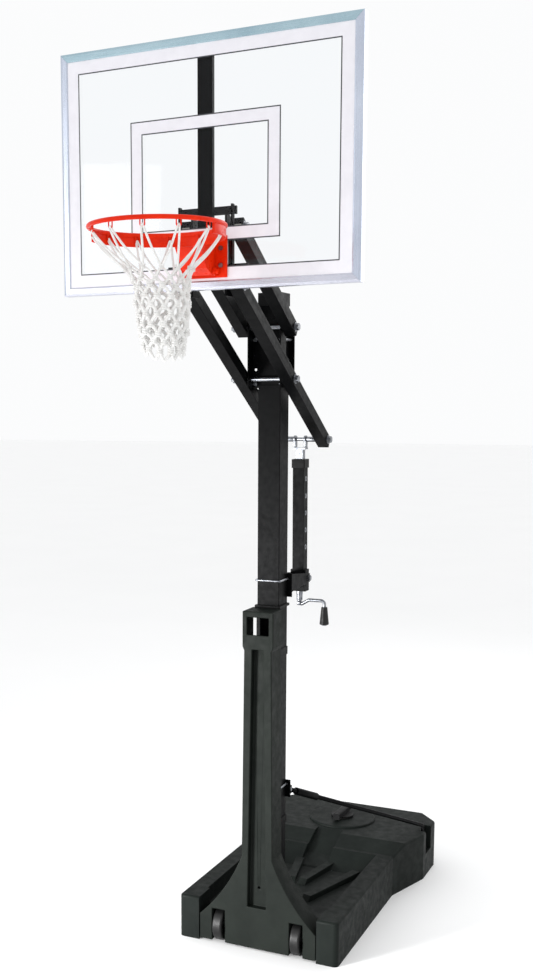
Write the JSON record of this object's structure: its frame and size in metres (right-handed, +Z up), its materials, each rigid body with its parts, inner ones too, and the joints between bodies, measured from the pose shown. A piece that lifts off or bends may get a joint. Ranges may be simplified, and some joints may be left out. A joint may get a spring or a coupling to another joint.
{
  "type": "portable basketball hoop",
  "caption": "Free-standing basketball hoop: clear framed board on parallel arms, cranked screw jack for height, breakaway rim and net, on a wheeled ballast base.",
  "frame": {"origin": "on the ground, under the centre of the pole", "axes": "+X to the right of the pole seen from the court, -Y towards the court, +Z up"},
  "size_m": [1.2192, 2.6376, 3.7704],
  "materials": {
    "black_steel": "satin black powder coat",
    "zinc": "bright zinc plate, lightly dulled",
    "tank_plastic": "charcoal moulded plastic with a fine grain",
    "trim_plastic": "black moulded plastic",
    "tyre": "matt black rubber",
    "grip": "matt black rubber",
    "acrylic": "clear polished sheet with printed white border and target",
    "aluminium": "satin anodised, pale cool white",
    "rim_orange": "gloss orange-red powder coat",
    "net_cord": "white braided nylon cord",
    "bush": "plain acetal bush"
  },
  "bodies": {
    "base": {"ballast_tank": "tank_plastic", "pole_shroud": "tank_plastic", "shroud_grip_bar": "black_steel", "shroud_straps": "black_steel", "pole_collar": "trim_plastic", "wheel_axle": "zinc", "main_pole": "black_steel", "pole_cap": "trim_plastic", "pole_foot_bracket": "black_steel", "brace_bracket": "black_steel", "brace_right": "black_steel", "brace_left": "black_steel", "brace_sleeves": "black_steel", "pole_u_bolts": "zinc", "base_bolts": "zinc", "pivot_bracket": "black_steel", "clamp_plate": "black_steel", "clamp_bolts": "zinc", "pole_pivot_bolts": "zinc", "jack_bracket": "black_steel", "jack_trunnions": "zinc"},
    "fill_plug": {"fill_cap": "trim_plastic", "fill_gasket": "tyre"},
    "left_wheel": {"wheel_left": "trim_plastic", "tyre_left": "tyre"},
    "right_wheel": {"wheel_right": "trim_plastic", "tyre_right": "tyre"},
    "lower_arms": {"lower_arm_left": "black_steel", "lower_arm_right": "black_steel", "lower_arm_bushes": "bush", "jack_cross_bolt": "zinc"},
    "upper_left_arm": {"upper_arm_left": "black_steel", "upper_bushes_left": "bush"},
    "upper_right_arm": {"upper_arm_right": "black_steel", "upper_bushes_right": "bush"},
    "jack_head": {"jack_inner_tube": "zinc"},
    "jack_foot": {"jack_outer_tube": "black_steel", "jack_eyelets": "zinc", "jack_collar": "trim_plastic", "jack_housing": "black_steel"},
    "crank": {"lead_screw": "zinc", "crank_rod": "zinc"},
    "grip": {"crank_grip": "grip"},
    "board": {"backboard_panel": "acrylic", "frame_top": "aluminium", "frame_bottom": "aluminium", "frame_left": "aluminium", "frame_right": "aluminium", "centre_bar": "black_steel", "board_cross_bars": "black_steel", "board_uprights": "black_steel", "board_ears": "black_steel", "board_pivot_bolts": "zinc", "rim_fixing": "zinc", "rim_plate": "rim_orange"},
    "rim": {"rim_ring": "rim_orange", "rim_brace": "rim_orange", "rim_box": "rim_orange", "net_hooks": "rim_orange", "net": "net_cord"}
  },
  "joints": [
    {"name": "height_adjust", "type": "hinge", "parent": "base", "child": "lower_arms", "pos_m": [0, -0.09, 2.531], "axis": [1, 0, 0], "range_deg": [0, 56.32]},
    {"name": "upper_left_swing", "type": "hinge", "parent": "base", "child": "upper_left_arm", "pos_m": [0, -0.09, 2.746], "axis": [1, 0, 0], "range_deg": [0, 56.32]},
    {"name": "upper_right_swing", "type": "hinge", "parent": "base", "child": "upper_right_arm", "pos_m": [0, -0.09, 2.746], "axis": [1, 0, 0], "range_deg": [0, 56.32]},
    {"name": "board_level", "type": "hinge", "parent": "lower_arms", "child": "board", "pos_m": [0, -0.64, 2.872], "axis": [1, 0, 0], "range_deg": [-56.32, 0]},
    {"name": "jack_head_pivot", "type": "hinge", "parent": "lower_arms", "child": "jack_head", "pos_m": [0, 0.3392, 2.2649], "axis": [1, 0, 0], "range_deg": [-58.11, 0]},
    {"name": "jack_extend", "type": "slide", "parent": "jack_head", "child": "jack_foot", "axis": [0, 0.009, -1], "range_m": [0, 0.47645]},
    {"name": "crank_turn", "type": "hinge", "parent": "jack_foot", "child": "crank", "pos_m": [0, 0.345, 1.623], "axis": [0, -0.009, 1], "continuous": true},
    {"name": "grip_spin", "type": "hinge", "parent": "crank", "child": "grip", "pos_m": [0.122, 0.34657, 1.44901], "axis": [0, -0.009, 1], "continuous": true},
    {"name": "rim_release", "type": "hinge", "parent": "board", "child": "rim", "pos_m": [0, -0.74, 2.918], "axis": [1, 0, 0], "range_deg": [0, 25], "stiffness_Nm_per_rad": 400, "springref_deg": -11.46},
    {"name": "left_wheel_spin", "type": "hinge", "parent": "base", "child": "left_wheel", "pos_m": [-0.186, -0.118, 0.0775], "axis": [1, 0, 0], "continuous": true},
    {"name": "right_wheel_spin", "type": "hinge", "parent": "base", "child": "right_wheel", "pos_m": [0.186, -0.118, 0.0775], "axis": [1, 0, 0], "continuous": true},
    {"name": "fill_plug_turn", "type": "hinge", "parent": "base", "child": "fill_plug", "pos_m": [0, 1.03, 0.238], "axis": [0, 0, 1], "range_deg": [0, 90]}
  ],
  "couplings": [
    {"joint": "upper_left_swing", "follows": "height_adjust", "ratio": 1},
    {"joint": "upper_right_swing", "follows": "height_adjust", "ratio": 1},
    {"joint": "board_level", "follows": "height_adjust", "ratio": -1},
    {"joint": "jack_head_pivot", "follows": "height_adjust", "ratio": -1.0314},
    {"joint": "jack_extend", "follows": "height_adjust", "m_per_rad": 0.48418}
  ]
}
